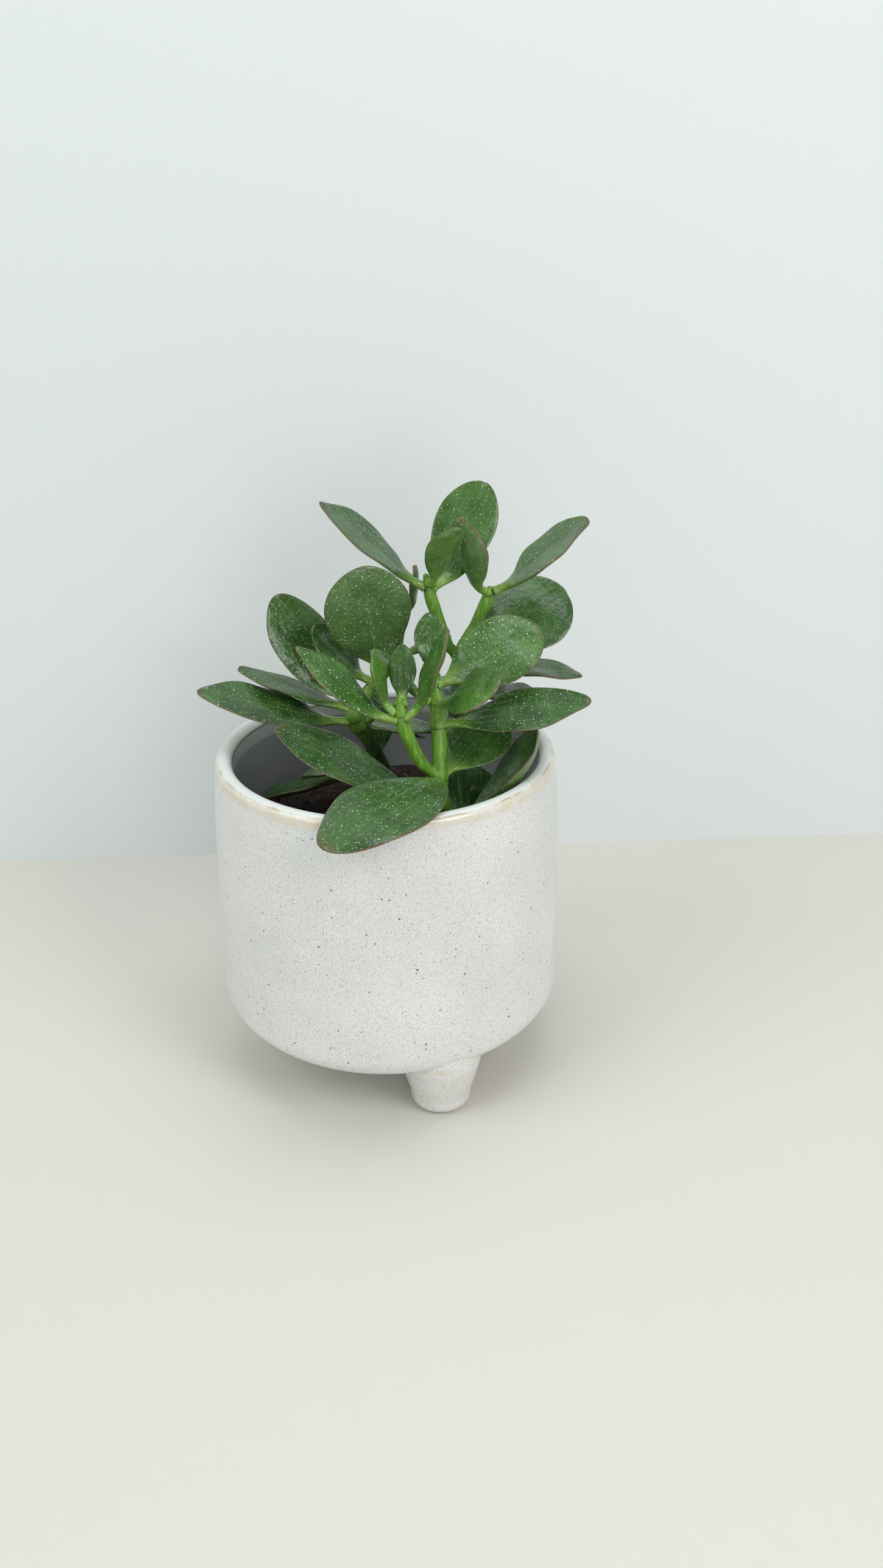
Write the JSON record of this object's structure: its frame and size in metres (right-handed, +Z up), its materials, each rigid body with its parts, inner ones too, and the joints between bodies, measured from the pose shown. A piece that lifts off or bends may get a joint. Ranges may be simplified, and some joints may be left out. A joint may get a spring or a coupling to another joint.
{
  "type": "potted jade plant",
  "caption": "Jade plant with thick oval leaves on branching green stems, in dark soil, in a speckled white round pot on short conical feet.",
  "frame": {"origin": "on the floor plane under the centre of the whole plant and pot's bounding box", "axes": "+Z up, -Y towards the side the picture was taken from, +X to the viewer's right"},
  "size_m": [0.1582, 0.1626, 0.2415],
  "materials": {
    "glaze": "satin speckled white ceramic glaze",
    "soil": "loose dark potting soil with root fibres",
    "stem": "fleshy green stem with ring scars",
    "leaf": "waxy dark green leaf with pale dots and a red edge",
    "young_leaf": "waxy bright green young leaf"
  },
  "bodies": {
    "root": {"branch_back_left": "stem", "branch_front_left": "stem", "leaf_back_base_front": "leaf", "leaf_back_fork_east": "leaf", "leaf_back_fork_rear": "leaf", "leaf_back_left_first_east": "leaf", "leaf_back_left_first_west": "leaf", "leaf_back_left_second_front": "young_leaf", "leaf_back_lower_east": "leaf", "leaf_back_lower_rear": "leaf", "leaf_back_lower_west": "leaf", "leaf_back_mid_east": "leaf", "leaf_back_right_first_east": "leaf", "leaf_back_right_first_west": "young_leaf", "leaf_back_upper_east": "leaf", "leaf_front_base_east": "leaf", "leaf_front_base_west": "leaf", "leaf_front_fork_east": "leaf", "leaf_front_fork_west": "leaf", "leaf_front_left_lower_east": "young_leaf", "leaf_front_left_lower_west": "leaf", "leaf_front_left_young_rear": "young_leaf", "leaf_front_left_young_west": "young_leaf", "leaf_front_right_lower_east": "leaf", "leaf_front_right_mid_front": "young_leaf", "leaf_front_right_mid_west": "young_leaf", "leaf_front_right_upper_east": "leaf", "leaf_front_right_upper_rear": "young_leaf", "leaf_left_base_rear": "leaf", "leaf_left_base_small": "leaf", "leaf_left_base_west": "leaf", "leaf_left_node_east": "leaf", "leaf_left_node_rear": "leaf", "leaf_left_node_west": "leaf", "leaf_left_tip_east": "young_leaf", "leaf_left_upper_east": "leaf", "leaf_left_upper_rear": "leaf", "leaf_left_upper_small": "young_leaf", "leaf_left_upper_west": "leaf", "pot": "glaze", "soil": "soil", "stem_back": "stem", "stem_front": "stem", "stem_left": "stem"}
  },
  "joints": []
}
